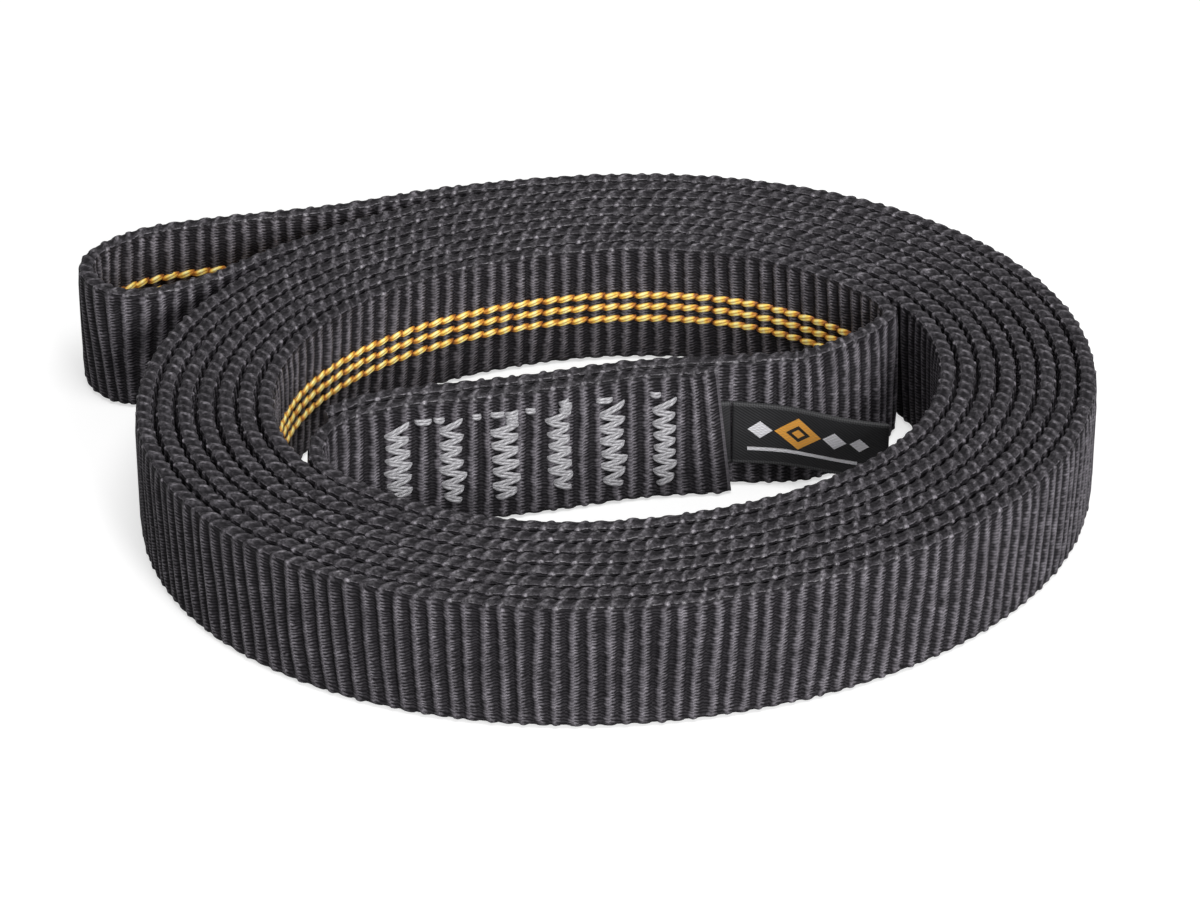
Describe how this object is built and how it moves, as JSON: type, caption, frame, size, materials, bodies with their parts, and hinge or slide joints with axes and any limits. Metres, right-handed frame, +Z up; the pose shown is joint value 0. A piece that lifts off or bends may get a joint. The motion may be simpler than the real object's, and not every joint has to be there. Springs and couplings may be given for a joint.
{
  "type": "climbing loop sling",
  "caption": "Endless loop sling of flat tubular webbing, lapped and bar-tacked, coiled on edge as a doubled strand, with one end left out as an open eye and a small woven label at the lap.",
  "frame": {"origin": "centre of the coiled sling's bounding box, on the plane that its lower edges rest on", "axes": "+Z up along the webbing's width, +X along the longest side of the box, from the eye towards the inner bend, -Y towards the side that the lap's front face looks to"},
  "size_m": [0.124, 0.106, 0.016],
  "materials": {
    "black_webbing": "matte ribbed weave with three golden tracer yarns on one face",
    "grey_thread": "slightly glossy filament sewing thread",
    "black_label": "fine smooth woven tape"
  },
  "bodies": {
    "sling": {"webbing_loop": "black_webbing", "needle_tack_1": "grey_thread", "bobbin_tack_1": "grey_thread", "needle_tack_2": "grey_thread", "bobbin_tack_2": "grey_thread", "needle_tack_3": "grey_thread", "bobbin_tack_3": "grey_thread", "needle_tack_4": "grey_thread", "bobbin_tack_4": "grey_thread", "needle_tack_5": "grey_thread", "bobbin_tack_5": "grey_thread", "needle_tack_6": "grey_thread", "bobbin_tack_6": "grey_thread", "travel_stitch_1": "grey_thread", "travel_stitch_2": "grey_thread", "travel_stitch_3": "grey_thread", "travel_stitch_4": "grey_thread", "travel_stitch_5": "grey_thread", "label_tab": "black_label"},
    "label": {"label_flap": "black_label"}
  },
  "joints": [
    {"name": "label_bend", "type": "hinge", "parent": "sling", "child": "label", "pos_m": [0.01875, 0.00001, 0], "axis": [-0.0119, 0.1479, 0.9889], "range_deg": [-80, 3], "stiffness_Nm_per_rad": 0.0001}
  ]
}
